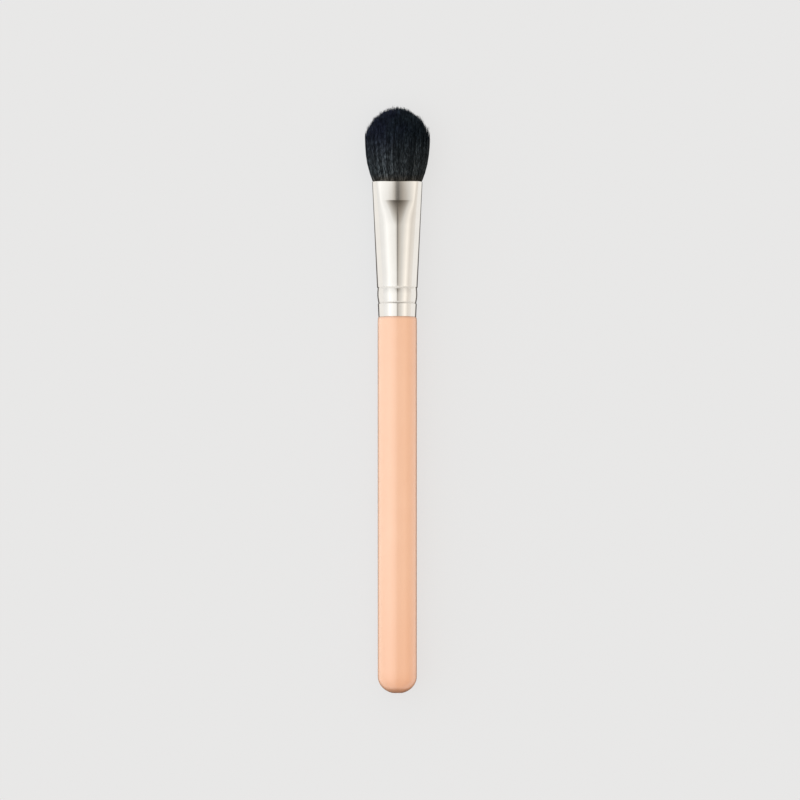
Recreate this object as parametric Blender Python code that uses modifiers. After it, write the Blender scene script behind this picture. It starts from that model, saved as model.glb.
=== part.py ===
"""Blush brush: a turned wooden handle, a crimped and pressed ferrule, and a domed tuft of hair.

Each piece is modelled upright about the brush's own Z axis, with the butt at zero and the hair up.
The empty brush_axis then lays the brush down on its flat side, as it lies on a table: the hair
points to +Y, the head's width is along X, +Z is up, and the origin is under the middle of the brush.
"""

import math
import random

import bmesh
import bpy
from mathutils import Matrix

# Driving dimensions, in metres

# Handle, turned in birch
HANDLE_LENGTH = 0.1089  # the part that shows, from the butt to the ferrule
HANDLE_TOP_DIAMETER = 0.0114
HANDLE_BUTT_DIAMETER = 0.0113
SHOULDER_ROUNDING_LENGTH = 0.0019
BUTT_ROUNDING_LENGTH = 0.0048
BUTT_FLAT_DIAMETER = 0.0030  # sanded flat where the lathe's centre sat
TENON_CHAMFER = 0.0008

# Ferrule, one drawn tube
FERRULE_LENGTH = 0.0394
FERRULE_WALL = 0.0004
FERRULE_BASE_DIAMETER = 0.01096
FERRULE_MOUTH_WIDTH = 0.01463
FERRULE_OVAL_THICKNESS = 0.0103  # at the mouth, before its band is pressed
FERRULE_ROUND_LENGTH = 0.0093  # the tube stays round up to here
FERRULE_RIM_ROUNDING = 0.0001

# Rolled crimps, measured up from the ferrule's lower rim: two notches with a barrel between them
LOWER_CRIMP_HEIGHT = 0.00406
LOWER_CRIMP_DEPTH = 0.00018
UPPER_CRIMP_HEIGHT = 0.00837
UPPER_CRIMP_DEPTH = 0.00017
CRIMP_WALL_LENGTH = 0.0003  # each notch falls this steeply on its outer side
CRIMP_SWELL = 0.0002  # the barrel's height over the line between the notches

# Pressed band round the mouth, with a crease along its lower edge
PRESSED_BAND_HEIGHT = 0.00567
CREASE_WIDTH = 0.0101
CREASE_THICKNESS = 0.00866  # over the band's two faces, at the crease
MOUTH_THICKNESS = 0.00816  # the faces lean in towards the mouth
FACE_CROWN_EXPONENT = 2.75  # 2 would be a plain arc, and a greater one is flatter in the middle
PRESS_RUN_IN = 0.0075  # each face starts to dip this far below the crease
PRESS_RUN_IN_EXPONENT = 2.2  # the dip steepens towards the crease
PRESS_EDGE_SOFTNESS = 0.0002

# Hair
TUFT_HEIGHT = 0.0216  # above the ferrule's mouth
TUFT_WIDTH = 0.0190
TUFT_THICKNESS = 0.0122
TUFT_BELLY_HEIGHT = 0.0120  # where the tuft is widest
TUFT_FLARE_EXPONENT = 2.3  # a greater one fills the tuft out nearer the mouth
TUFT_DOME_EXPONENT = 1.8  # 2 would be an ellipse
TIP_RAGGEDNESS = 0.0005
TIP_SEED = 4
TIP_TAPER_LENGTH = 0.0030
TIP_TAPER_WIDTH = 0.9  # a strand's width where its taper begins, as a share of its full width
STRAND_RINGS = 8  # rings of strands, which make 6 * 8 * 8 strands
OUTER_BEND_SHARE = 0.45  # the outermost strands bend once more, this far from the mouth to their taper
STRAND_INSET = 0.000045  # half the space between two strands at their roots
ROOT_DEPTH = 0.0095  # from the mouth down to where the hair is set in glue
ROOT_SLICE_THICKNESS = 0.0016

# Root plug, with its thread binding
ROOT_PLUG_LENGTH = 0.0100
BINDING_TURNS = 4
THREAD_DIAMETER = 0.0005
THREAD_PITCH = 0.0010
WAIST_SHOULDER_LENGTH = 0.0008

# Adhesive over the tenon's end
TENON_GLUE_THICKNESS = 0.0015
TENON_GLUE_DISH = 0.0005

# Clearances
SEAT_GAP = 0.0003
SHOULDER_GAP = 0.0001

# Colour, roughness and metallic share of each material
FINISHES = {
    "peach_lacquer": ((0.947, 0.552, 0.366), 0.32, 0.0),
    "nickel": ((0.74, 0.71, 0.67), 0.16, 1.0),
    "black_hair": ((0.011, 0.013, 0.016), 0.55, 0.0),
    "amber_resin": ((0.42, 0.23, 0.07), 0.30, 0.0),
    "cotton_thread": ((0.70, 0.66, 0.57), 0.85, 0.0),
    "clear_adhesive": ((0.62, 0.55, 0.38), 0.25, 0.0),
}

# Facets
SHARP_ANGLE = math.radians(35.0)
RIM_ANGLE = math.radians(60.0)
MERGE_DISTANCE = 0.000001
ROUND_OFF = 0.000001  # slack for angles and shares that should be exact
HANDLE_STEPS = 40
FERRULE_STEPS = 48
PLUG_STEPS = 32
BARREL_STEPS = 6
CONE_STEPS = 4
RUN_IN_STEPS = 8
BAND_STEPS = 3
ROUNDING_STEPS = 6
SHOULDER_STEPS = 2
POINTS_PER_TURN = 20

# Levels along the brush, worked out from the sizes above
FERRULE_BASE_LEVEL = HANDLE_LENGTH + SHOULDER_GAP
MOUTH_LEVEL = FERRULE_BASE_LEVEL + FERRULE_LENGTH
OVERALL_LENGTH = MOUTH_LEVEL + TUFT_HEIGHT
ROOT_LEVEL = MOUTH_LEVEL - ROOT_DEPTH
SLICE_BOTTOM_LEVEL = ROOT_LEVEL - ROOT_SLICE_THICKNESS
PLUG_TOP_LEVEL = SLICE_BOTTOM_LEVEL - SEAT_GAP
PLUG_BOTTOM_LEVEL = PLUG_TOP_LEVEL - ROOT_PLUG_LENGTH
GLUE_TOP_LEVEL = PLUG_BOTTOM_LEVEL - SEAT_GAP
GLUE_BOTTOM_LEVEL = GLUE_TOP_LEVEL - TENON_GLUE_THICKNESS
TENON_END_LEVEL = GLUE_BOTTOM_LEVEL - SEAT_GAP
CREASE_HEIGHT = FERRULE_LENGTH - PRESSED_BAND_HEIGHT


def blend(start, end, share):
    return start + (end - start) * share


def ease(share):
    """0 to 1 with no slope at either end."""
    share = min(max(share, 0.0), 1.0)
    return share * share * (3.0 - 2.0 * share)


def soft_min(first, second, softness):
    """The smaller of two values, with the corner between them rounded."""
    return (first + second - math.hypot(first - second, softness)) / 2.0


def spaced(start, end, steps):
    """The levels that cut start to end into equal steps, without the first."""
    return [blend(start, end, step / steps) for step in range(1, steps + 1)]


# Shape of the ferrule. Heights here are measured up from its lower rim.


def blank_half_width(height):
    return blend(FERRULE_BASE_DIAMETER, FERRULE_MOUTH_WIDTH, height / FERRULE_LENGTH) / 2.0


def blank_half_thickness(height):
    """Round at the handle, then drawn flatter towards the mouth."""
    if height <= FERRULE_ROUND_LENGTH:
        return blank_half_width(height)
    share = (height - FERRULE_ROUND_LENGTH) / (FERRULE_LENGTH - FERRULE_ROUND_LENGTH)
    return blend(blank_half_width(FERRULE_ROUND_LENGTH), FERRULE_OVAL_THICKNESS / 2.0, ease(share))


def crimp_depth(height):
    """How far the tube is drawn in: a sharp notch at each crimp, and a barrel between the two."""
    if height < LOWER_CRIMP_HEIGHT:
        return LOWER_CRIMP_DEPTH * ease(1.0 - (LOWER_CRIMP_HEIGHT - height) / CRIMP_WALL_LENGTH)
    if height > UPPER_CRIMP_HEIGHT:
        return UPPER_CRIMP_DEPTH * ease(1.0 - (height - UPPER_CRIMP_HEIGHT) / CRIMP_WALL_LENGTH)
    share = (height - LOWER_CRIMP_HEIGHT) / (UPPER_CRIMP_HEIGHT - LOWER_CRIMP_HEIGHT)
    return blend(LOWER_CRIMP_DEPTH, UPPER_CRIMP_DEPTH, share) - CRIMP_SWELL * math.sin(math.pi * share)


def half_width(height):
    return blank_half_width(height) - crimp_depth(height)


def half_thickness(height):
    return blank_half_thickness(height) - crimp_depth(height)


def die_face(x, height):
    """The crowned face of the die that presses the band. At the crease's ends it meets the tube."""
    half_crease = CREASE_WIDTH / 2.0
    across = half_crease / blank_half_width(CREASE_HEIGHT)
    edge = blank_half_thickness(CREASE_HEIGHT) * math.sqrt(1.0 - across * across)
    crown = CREASE_THICKNESS / 2.0 - edge
    share = min(max((height - CREASE_HEIGHT) / PRESSED_BAND_HEIGHT, 0.0), 1.0)
    middle = blend(CREASE_THICKNESS, MOUTH_THICKNESS, share) / 2.0
    return middle - crown * abs(x / half_crease) ** FACE_CROWN_EXPONENT


def press_share(height):
    """How much of the press has taken: it dips ever more steeply to the crease, then holds to the mouth."""
    share = (height - CREASE_HEIGHT) / PRESS_RUN_IN + 1.0
    return min(max(share, 0.0), 1.0) ** PRESS_RUN_IN_EXPONENT


def ferrule_point(angle, height):
    x = half_width(height) * math.cos(angle)
    y = half_thickness(height) * math.sin(angle)
    pressed = soft_min(abs(y), die_face(x, height), PRESS_EDGE_SOFTNESS)
    y = math.copysign(blend(abs(y), pressed, press_share(height)), y)
    return x, y, FERRULE_BASE_LEVEL + height


def ferrule_stations():
    """Levels of the ferrule's rings: close together at the crimps and below the crease."""
    run_in = CREASE_HEIGHT - PRESS_RUN_IN
    stations = [0.0, LOWER_CRIMP_HEIGHT - CRIMP_WALL_LENGTH, LOWER_CRIMP_HEIGHT]
    stations += spaced(LOWER_CRIMP_HEIGHT, UPPER_CRIMP_HEIGHT, BARREL_STEPS)
    stations += [UPPER_CRIMP_HEIGHT + CRIMP_WALL_LENGTH]
    stations += spaced(UPPER_CRIMP_HEIGHT + CRIMP_WALL_LENGTH, run_in, CONE_STEPS)
    stations += spaced(run_in, CREASE_HEIGHT, RUN_IN_STEPS)
    stations += spaced(CREASE_HEIGHT, FERRULE_LENGTH, BAND_STEPS)
    return stations


def inner_half_width(height):
    """Half the width that is left for what the ferrule holds, with its seat gap taken off."""
    return half_width(height) - FERRULE_WALL - SEAT_GAP


def inner_half_thickness(height):
    _, middle, _ = ferrule_point(math.pi / 2.0, height)
    return middle - FERRULE_WALL - SEAT_GAP


def inner_point(angle, level):
    """A place on what fills the ferrule out to its wall."""
    height = level - FERRULE_BASE_LEVEL
    return inner_half_width(height) * math.cos(angle), inner_half_thickness(height) * math.sin(angle), level


# Blender objects


def clear_scene():
    for old in list(bpy.data.objects):
        bpy.data.objects.remove(old, do_unlink=True)


def make_material(name):
    color, roughness, metallic = FINISHES[name]
    material = bpy.data.materials.new(name)
    material.use_nodes = True
    shader = material.node_tree.nodes["Principled BSDF"]
    shader.inputs["Base Color"].default_value = (*color, 1.0)
    shader.inputs["Roughness"].default_value = roughness
    shader.inputs["Metallic"].default_value = metallic
    return material


def add_piece(name, data, finish):
    """Puts a mesh or a curve into the brush, on its axis."""
    piece = bpy.data.objects.new(name, data)
    data.materials.append(make_material(finish))
    bpy.data.collections["blush_brush"].objects.link(piece)
    piece.parent = bpy.data.objects["brush_axis"]
    return piece


def mesh_from(bm, name):
    mesh = bpy.data.meshes.new(name)
    bm.to_mesh(mesh)
    bm.free()
    mesh.shade_smooth()
    mesh.set_sharp_from_angle(angle=SHARP_ANGLE)
    return mesh


def loft(bm, levels, steps, point):
    """Skins rings of unlike section. point gives a place from an angle and a level."""
    rings = []
    for level in levels:
        angles = [2.0 * math.pi * step / steps for step in range(steps)]
        rings.append([bm.verts.new(point(angle, level)) for angle in angles])
    for lower, upper in zip(rings, rings[1:]):
        for step in range(steps):
            after = (step + 1) % steps
            bm.faces.new((lower[step], lower[after], upper[after], upper[step]))
    return rings


def add_axis():
    """The brush's own axis, along +Y with the middle of the brush over the origin."""
    axis = bpy.data.objects.new("brush_axis", None)
    axis.empty_display_size = TUFT_WIDTH
    axis.location = (0.0, -OVERALL_LENGTH / 2.0, 0.0)
    axis.rotation_euler = (-math.pi / 2.0, 0.0, 0.0)
    bpy.data.collections["blush_brush"].objects.link(axis)
    return axis


def rest_on_table(axis):
    """Raises the axis until the brush's lowest point is at zero."""
    bpy.context.view_layer.update()
    graph = bpy.context.evaluated_depsgraph_get()
    lowest = math.inf
    for piece in axis.children:
        shown = piece.evaluated_get(graph)
        mesh = shown.to_mesh()
        lowest = min([lowest] + [(shown.matrix_world @ vert.co).z for vert in mesh.vertices])
        shown.to_mesh_clear()
    axis.location.z -= lowest


# Handle


def tenon_profile():
    """The tenon's outline from its end down to the shoulder, with a groove where each crimp bites."""
    end = TENON_END_LEVEL - FERRULE_BASE_LEVEL
    below_chamfer = end - TENON_CHAMFER
    heights = [height for height in ferrule_stations() if height < below_chamfer]
    outline = [(0.0, TENON_END_LEVEL)]
    outline += [(tenon_radius(end) - TENON_CHAMFER, TENON_END_LEVEL)]
    for height in [below_chamfer] + heights[::-1]:
        outline.append((tenon_radius(height), FERRULE_BASE_LEVEL + height))
    outline.append((tenon_radius(0.0), HANDLE_LENGTH))
    return outline


def tenon_radius(height):
    return min(inner_half_width(height), inner_half_thickness(height))


def shoulder_profile():
    """A quarter round from the ferrule's outside to the handle's full width."""
    top, full = FERRULE_BASE_DIAMETER / 2.0, HANDLE_TOP_DIAMETER / 2.0
    outline = [(top, HANDLE_LENGTH)]
    for angle in spaced(0.0, math.pi / 2.0, ROUNDING_STEPS):
        fall = SHOULDER_ROUNDING_LENGTH * (1.0 - math.cos(angle))
        outline.append((blend(top, full, math.sin(angle)), HANDLE_LENGTH - fall))
    return outline


def butt_profile():
    """The barrel's lower end: an elliptic rounding that stops at a small flat."""
    full, flat = HANDLE_BUTT_DIAMETER / 2.0, BUTT_FLAT_DIAMETER / 2.0
    first = math.asin(flat / full)
    outline = [(full, BUTT_ROUNDING_LENGTH)]
    for angle in spaced(math.pi / 2.0, first, 2 * ROUNDING_STEPS):
        rise = 1.0 - math.cos(angle) / math.cos(first)
        outline.append((full * math.sin(angle), BUTT_ROUNDING_LENGTH * rise))
    outline.append((0.0, 0.0))
    return outline


def build_handle():
    outline = tenon_profile() + shoulder_profile() + butt_profile()
    mesh = bpy.data.meshes.new("handle")
    points = [(radius, 0.0, level) for radius, level in outline]
    mesh.from_pydata(points, [(i, i + 1) for i in range(len(points) - 1)], [])
    handle = add_piece("handle", mesh, "peach_lacquer")
    turn = handle.modifiers.new("turned", "SCREW")
    turn.axis = "Z"
    turn.angle = 2.0 * math.pi
    turn.steps = HANDLE_STEPS
    turn.render_steps = HANDLE_STEPS
    turn.use_merge_vertices = True
    turn.merge_threshold = MERGE_DISTANCE
    turn.use_smooth_shade = True


# Ferrule


def build_ferrule():
    bm = bmesh.new()
    loft(bm, ferrule_stations(), FERRULE_STEPS, ferrule_point)
    ferrule = add_piece("ferrule", mesh_from(bm, "ferrule"), "nickel")
    wall = ferrule.modifiers.new("wall", "SOLIDIFY")
    wall.thickness = FERRULE_WALL
    wall.offset = -1.0
    wall.use_even_offset = True
    rims = ferrule.modifiers.new("rims", "BEVEL")
    rims.width = FERRULE_RIM_ROUNDING
    rims.segments = 1
    rims.limit_method = "ANGLE"
    rims.angle_limit = RIM_ANGLE


# Hair


def disc_point(x, y):
    """Where a point of a unit hexagon, a corner on +X, lands when the hexagon is pushed out to a circle."""
    sextant = math.floor(math.atan2(y, x) / (math.pi / 3.0) + ROUND_OFF)
    start = sextant * math.pi / 3.0
    end = start + math.pi / 3.0
    area = math.sin(end - start)
    first = (x * math.sin(end) - y * math.cos(end)) / area
    second = (y * math.cos(start) - x * math.sin(start)) / area
    radius = first + second
    if radius < ROUND_OFF:
        return 0.0, 0.0
    angle = blend(start, end, second / radius)
    return radius * math.cos(angle), radius * math.sin(angle)


def spread(level):
    """Half the width and half the thickness of the hair at a level. All strands follow them, so none cross."""
    root_width = inner_half_width(SLICE_BOTTOM_LEVEL - FERRULE_BASE_LEVEL)
    mouth_width = inner_half_width(FERRULE_LENGTH)
    pinch = inner_half_thickness(FERRULE_LENGTH)
    if level <= MOUTH_LEVEL:
        return blend(root_width, mouth_width, (level - ROOT_LEVEL) / ROOT_DEPTH), pinch
    flare = 1.0 - (1.0 - min((level - MOUTH_LEVEL) / TUFT_BELLY_HEIGHT, 1.0)) ** TUFT_FLARE_EXPONENT
    return blend(mouth_width, TUFT_WIDTH / 2.0, flare), blend(pinch, TUFT_THICKNESS / 2.0, flare)


def tip_level(radius, chance):
    """The dome's level over a strand at a share of the tuft's radius, a little ragged."""
    drop = max(1.0 - radius ** TUFT_DOME_EXPONENT, 0.0) ** (1.0 / TUFT_DOME_EXPONENT)
    dome = blend(TUFT_BELLY_HEIGHT, TUFT_HEIGHT, drop)
    return MOUTH_LEVEL + dome - TIP_RAGGEDNESS * chance.random() * radius


def place(vert, unit, level):
    across, through = spread(level)
    vert.co = (unit[0] * across, unit[1] * through, level)


def foot_shares(foot):
    """The corners and the middle of a strand's foot, as shares of the hair's half width and thickness."""
    across, through = spread(ROOT_LEVEL)
    corners = [(vert.co.x / across, vert.co.y / through) for vert in foot.verts]
    middle = [sum(corner[axis] for corner in corners) / len(corners) for axis in (0, 1)]
    return corners, middle


def root_slice(bm):
    """A slice of the glued roots, cut on top into one triangle for each strand."""
    turned = Matrix.Rotation(math.pi / 6.0, 4, "Z")
    bmesh.ops.create_circle(bm, cap_ends=True, cap_tris=True, segments=6, radius=1.0, matrix=turned)
    bmesh.ops.subdivide_edges(bm, edges=bm.edges[:], cuts=STRAND_RINGS - 1, use_grid_fill=True)
    bmesh.ops.triangulate(bm, faces=bm.faces[:])
    for vert in bm.verts:
        place(vert, disc_point(vert.co.x, vert.co.y), ROOT_LEVEL)
    top = bm.faces[:]
    lower = bmesh.ops.extrude_face_region(bm, geom=top, use_keep_orig=True)["geom"]
    for vert in (item for item in lower if isinstance(item, bmesh.types.BMVert)):
        vert.co.z = SLICE_BOTTOM_LEVEL
    lower_faces = [item for item in lower if isinstance(item, bmesh.types.BMFace)]
    bmesh.ops.dissolve_faces(bm, faces=lower_faces)
    bmesh.ops.recalc_face_normals(bm, faces=bm.faces)
    return top


def grow_strands(bm, feet):
    """Draws a strand of three sides up from each foot: through the mouth, out with the flare, to a point."""
    chance = random.Random(TIP_SEED)
    for foot in feet:
        corners, middle = foot_shares(foot)
        radius = math.hypot(*middle)
        tip = tip_level(radius, chance)
        taper = tip - TIP_TAPER_LENGTH
        stages = [(MOUTH_LEVEL, 1.0), (taper, TIP_TAPER_WIDTH)]
        if radius > 1.0 - 1.0 / STRAND_RINGS:
            stages.insert(1, (blend(MOUTH_LEVEL, taper, OUTER_BEND_SHARE), 1.0))
        face = foot
        for level, size in stages:
            face = bmesh.ops.extrude_discrete_faces(bm, faces=[face])["faces"][0]
            for vert, corner in zip(face.verts, corners):
                unit = [blend(middle[axis], corner[axis], size) for axis in (0, 1)]
                place(vert, unit, level)
        point = bmesh.ops.poke(bm, faces=[face])["verts"][0]
        place(point, middle, tip)


def build_hair_tuft():
    bm = bmesh.new()
    feet = root_slice(bm)
    bmesh.ops.inset_individual(bm, faces=feet, thickness=STRAND_INSET, use_even_offset=True)
    grow_strands(bm, feet)
    tuft = add_piece("hair_tuft", mesh_from(bm, "hair_tuft"), "black_hair")
    print(f"{len(feet)} strands in {tuft.name}")


# Inside the ferrule


def waist_share(level):
    """1 in the waist that the thread is wound into, 0 on the plug's full ends."""
    middle = (PLUG_TOP_LEVEL + PLUG_BOTTOM_LEVEL) / 2.0
    beyond = abs(level - middle) - BINDING_TURNS * THREAD_PITCH / 2.0 - THREAD_DIAMETER
    return 1.0 - ease(beyond / WAIST_SHOULDER_LENGTH)


def plug_section(level):
    waist = waist_share(level) * (THREAD_DIAMETER + SEAT_GAP)
    height = level - FERRULE_BASE_LEVEL
    return inner_half_width(height) - waist, inner_half_thickness(height) - waist


def plug_point(angle, level):
    across, through = plug_section(level)
    return across * math.cos(angle), through * math.sin(angle), level


def plug_levels():
    """The plug's rings: a full end, a sloped shoulder, the waist, and the same again."""
    middle = (PLUG_TOP_LEVEL + PLUG_BOTTOM_LEVEL) / 2.0
    waist = BINDING_TURNS * THREAD_PITCH / 2.0 + THREAD_DIAMETER
    shoulder = waist + WAIST_SHOULDER_LENGTH
    levels = [PLUG_BOTTOM_LEVEL, middle - shoulder]
    levels += spaced(middle - shoulder, middle - waist, SHOULDER_STEPS)
    levels += [middle + waist]
    levels += spaced(middle + waist, middle + shoulder, SHOULDER_STEPS)
    return levels + [PLUG_TOP_LEVEL]


def build_root_plug():
    bm = bmesh.new()
    rings = loft(bm, plug_levels(), PLUG_STEPS, plug_point)
    bm.faces.new(reversed(rings[0]))
    bm.faces.new(rings[-1])
    add_piece("root_plug", mesh_from(bm, "root_plug"), "amber_resin")


def thread_point(turn):
    """A point of the winding's centre line, by turns from its middle."""
    level = (PLUG_TOP_LEVEL + PLUG_BOTTOM_LEVEL) / 2.0 + turn * THREAD_PITCH
    across, through = plug_section(level)
    stand_off = SEAT_GAP + THREAD_DIAMETER / 2.0
    angle = 2.0 * math.pi * turn
    return (across + stand_off) * math.cos(angle), (through + stand_off) * math.sin(angle), level


def build_root_binding():
    count = BINDING_TURNS * POINTS_PER_TURN
    turns = [BINDING_TURNS * (step / count - 0.5) for step in range(count + 1)]
    points = [thread_point(turn) for turn in turns]
    gap = min(
        math.dist(points[i], points[j]) - THREAD_DIAMETER
        for i in range(len(points))
        for j in range(i + POINTS_PER_TURN // 2, len(points))
    )
    print(f"least gap of the thread to itself: {gap * 1000:.2f} mm")
    curve = bpy.data.curves.new("root_binding", "CURVE")
    curve.dimensions = "3D"
    curve.bevel_depth = THREAD_DIAMETER / 2.0
    curve.bevel_resolution = 1
    curve.use_fill_caps = True
    spline = curve.splines.new("POLY")
    spline.points.add(len(points) - 1)
    for spline_point, where in zip(spline.points, points):
        spline_point.co = (*where, 1.0)
    add_piece("root_binding", curve, "cotton_thread")


def build_tenon_glue():
    """A puddle that has crept up the wall all round, so its top is dished."""
    bm = bmesh.new()
    rings = loft(bm, [GLUE_BOTTOM_LEVEL, GLUE_TOP_LEVEL], PLUG_STEPS, inner_point)
    bm.faces.new(reversed(rings[0]))
    top = bm.faces.new(rings[-1])
    dish = bmesh.ops.poke(bm, faces=[top])["verts"][0]
    dish.co.z = GLUE_TOP_LEVEL - TENON_GLUE_DISH
    add_piece("tenon_glue", mesh_from(bm, "tenon_glue"), "clear_adhesive")


def main():
    clear_scene()
    bpy.context.scene.collection.children.link(bpy.data.collections.new("blush_brush"))
    axis = add_axis()
    build_handle()
    build_ferrule()
    build_hair_tuft()
    build_root_plug()
    build_root_binding()
    build_tenon_glue()
    rest_on_table(axis)


main()
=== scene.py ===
"""Looks for the blush brush: a lacquered handle, a polished ferrule and a tuft of fine black hair.

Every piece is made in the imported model's frame: metres, the hair to +Y, the brush lying on z = 0.
The shapes are part.py's, by the same names, drawn here with the finer facets that a close view needs.
"""

import math

import bpy
import numpy as np
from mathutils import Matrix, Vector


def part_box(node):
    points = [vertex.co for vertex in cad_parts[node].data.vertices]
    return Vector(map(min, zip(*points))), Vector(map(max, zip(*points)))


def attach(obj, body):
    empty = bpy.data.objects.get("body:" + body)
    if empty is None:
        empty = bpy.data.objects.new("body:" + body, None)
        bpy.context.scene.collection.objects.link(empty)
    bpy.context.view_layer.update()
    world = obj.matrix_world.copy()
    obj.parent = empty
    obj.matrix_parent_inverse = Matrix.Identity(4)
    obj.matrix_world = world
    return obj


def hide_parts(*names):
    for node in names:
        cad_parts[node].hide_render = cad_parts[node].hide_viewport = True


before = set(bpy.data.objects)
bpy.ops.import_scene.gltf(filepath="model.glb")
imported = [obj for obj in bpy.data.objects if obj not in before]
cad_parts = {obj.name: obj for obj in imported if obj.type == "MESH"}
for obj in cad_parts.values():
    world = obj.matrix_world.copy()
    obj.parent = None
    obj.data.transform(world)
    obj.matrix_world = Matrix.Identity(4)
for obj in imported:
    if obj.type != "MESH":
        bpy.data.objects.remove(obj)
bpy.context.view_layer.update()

# Sizes in metres, and exponents, that part.py also has

HANDLE_LENGTH = 0.1089
HANDLE_TOP_DIAMETER = 0.0114
HANDLE_BUTT_DIAMETER = 0.0113
SHOULDER_ROUNDING_LENGTH = 0.0019
BUTT_ROUNDING_LENGTH = 0.0048
BUTT_FLAT_DIAMETER = 0.0030
TENON_CHAMFER = 0.0008
FERRULE_LENGTH = 0.0394
FERRULE_WALL = 0.0004
FERRULE_BASE_DIAMETER = 0.01096
FERRULE_MOUTH_WIDTH = 0.01463
FERRULE_OVAL_THICKNESS = 0.0103
FERRULE_ROUND_LENGTH = 0.0093
LOWER_CRIMP_HEIGHT = 0.00406
LOWER_CRIMP_DEPTH = 0.00018
UPPER_CRIMP_HEIGHT = 0.00837
UPPER_CRIMP_DEPTH = 0.00017
CRIMP_WALL_LENGTH = 0.0003
CRIMP_SWELL = 0.0002
PRESSED_BAND_HEIGHT = 0.00567
CREASE_WIDTH = 0.0101
CREASE_THICKNESS = 0.00866
MOUTH_THICKNESS = 0.00816
FACE_CROWN_EXPONENT = 2.75
PRESS_RUN_IN = 0.0075
PRESS_RUN_IN_EXPONENT = 2.2
PRESS_EDGE_SOFTNESS = 0.0002
TUFT_HEIGHT = 0.0216
TUFT_WIDTH = 0.0190
TUFT_THICKNESS = 0.0122
TUFT_BELLY_HEIGHT = 0.0120
TUFT_FLARE_EXPONENT = 2.3
TUFT_DOME_EXPONENT = 1.8
ROOT_DEPTH = 0.0095
ROOT_SLICE_THICKNESS = 0.0016
SEAT_GAP = 0.0003
SHOULDER_GAP = 0.0001

# Sizes of the ferrule that only this scene draws

BAND_LEAN_EXPONENT = 1.4
RIM_ROUNDING = 0.00006  # of the ferrule's lower rim
RIM_GAP = 0.00003  # between that rim and the handle's shoulder

# The hair's strands, and how they gather in clumps

STRANDS = 13000
STRAND_SEED = 7
STRAND_RADIUS = 0.000048
STRAND_THICKNESSES = (0.8, 1.1)  # thinnest and thickest, as shares of that
STRAND_TAPER_START = 0.87  # share of the free length
STRAND_TIP_SHARE = 0.2  # of the strand's radius
# Where a strand has points, as shares of its free length. The first is its end in the resin.
STRAND_POINTS = np.array([-1.0, 0.0, 0.02, 0.2, 0.4, 0.6, 0.78, 0.9, 1.0])
GOLDEN_ANGLE = math.pi * (3.0 - math.sqrt(5.0))
FOOT_SHAKE = 0.25 / math.sqrt(STRANDS)  # of the tuft's half width, as a deviation
HAIR_GAP = 0.00003  # between the hair and the ferrule's wall
HAIR_SPILL = 0.00025  # the hair springs out over the mouth's lip by this much
HAIR_SET_DEPTH = 0.0002  # the strands stand this deep in their resin
TABLE_GAP = 0.00004  # the hair that lies on the table stays this far above it
CLUMPS = 1100
CLUMP_PULL = 0.9  # how much of the way to its clump's middle a strand's tip goes
LEAST_PULL = 0.4  # some strands take only this share of the pull
CLUMP_RELIEF = 0.030  # how far clumps stand in or out of the tuft, as a share of its half width
CLUMP_SPREAD = 0.00011  # of the clumps' lengths: few are long
STRAND_SPREAD = 0.00008
SPREAD_EXPONENT = 1.6
LONGEST_SPREAD = 3.3
TIP_DROPS = (0.0003, 0.0002)  # the shortest clumps end this far under the dome, at its middle and its edge
STRAND_LEAN = 0.018  # of the tuft's half width, at the tip
STRAY_SHARE = 0.05  # of the strands
STRAY_LEAN = 0.05  # and by how much they lean instead
LEAN_EXPONENT = 1.5  # a strand leans and gathers ever more towards its tip
SPRUNG_SHARE = 0.35  # of how far a strand leans out of the tuft's outline, what it keeps
WAVE_SHARE = 0.016  # of the tuft's half width, at the tip
WAVE_TURN = 7.0  # radians of wave over the free length
WAVE_ROOM = 0.0002  # the centre lines stay this far inside the belly's outline
OWN_TONE_SHARE = 0.6  # of a strand's tone. The rest is its clump's.
PAINTED_SIDE_LIGHT = (0.68, 1.30)  # painted light and shade: that tone is multiplied by these at the tuft's right and left, lighter on the left
# The pieces that the strands are shared out to, from the tuft's middle, and the radius where each ends
HAIR_PIECES = (("hair_heart", 0.5), ("hair_inner", 0.72), ("hair_outer", 0.88), ("hair_surface", 2.0))
CELL_MARGIN = 0.1  # round a strand's sides in its cell of the hair's map
CELL_END = 0.08  # the height of each of its ends there

# Materials. A tone is linear red, green and blue, and a pair of tones is a range.

LACQUER_TONES = ((0.945, 0.555, 0.358), (0.930, 0.535, 0.340))
SAG_LENGTH = 0.045  # the lacquer is a little deeper in colour up to here from the butt
SAG_TONE = (0.915, 0.495, 0.300)
POOLED_AND_SHADE_LENGTH = 0.0075  # deeper up to here: pooled lacquer, and painted shade where the butt turns away from the light
POOLED_AND_SHADE_TONE = (0.875, 0.430, 0.235)
BUTT_RIM_SHADE_LENGTH = 0.0021  # and darker still up to here: painted shade on the butt's rounded end
BUTT_RIM_SHADE_TONE = (0.570, 0.280, 0.165)
JOINT_SHADE_LENGTH = 0.0009  # painted shade along the joint with the ferrule, up to here below it
JOINT_SHADE_TONE = (0.720, 0.420, 0.285)
NICKEL_TONES = ((0.795, 0.775, 0.742), (0.770, 0.750, 0.716))
TURNING_STRETCH = (1.0, 22.0, 1.0)  # noise that is much finer along the brush draws rings round it
NOTCH_REACH = 0.0006  # from a crimp's line, how far its metal is rougher and duller
NOTCH_SIDES = (0.0045, 0.0052)  # from the axis, where that ends at the ferrule's sides
NOTCH_ROUGHNESS = 0.50
NOTCH_TONE = (0.765, 0.745, 0.712)
SHEEN_FLECK_STRETCH = (1.0, 0.34, 0.5)  # the hair's painted sheen: light flecks, longest along the strands
SHEEN_FLECK_EXPONENT = 1.8  # few of them are very light
SHEEN_FLECK_GAIN = 1.9
SHEEN_FLECK_LEAST = 0.15
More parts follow.
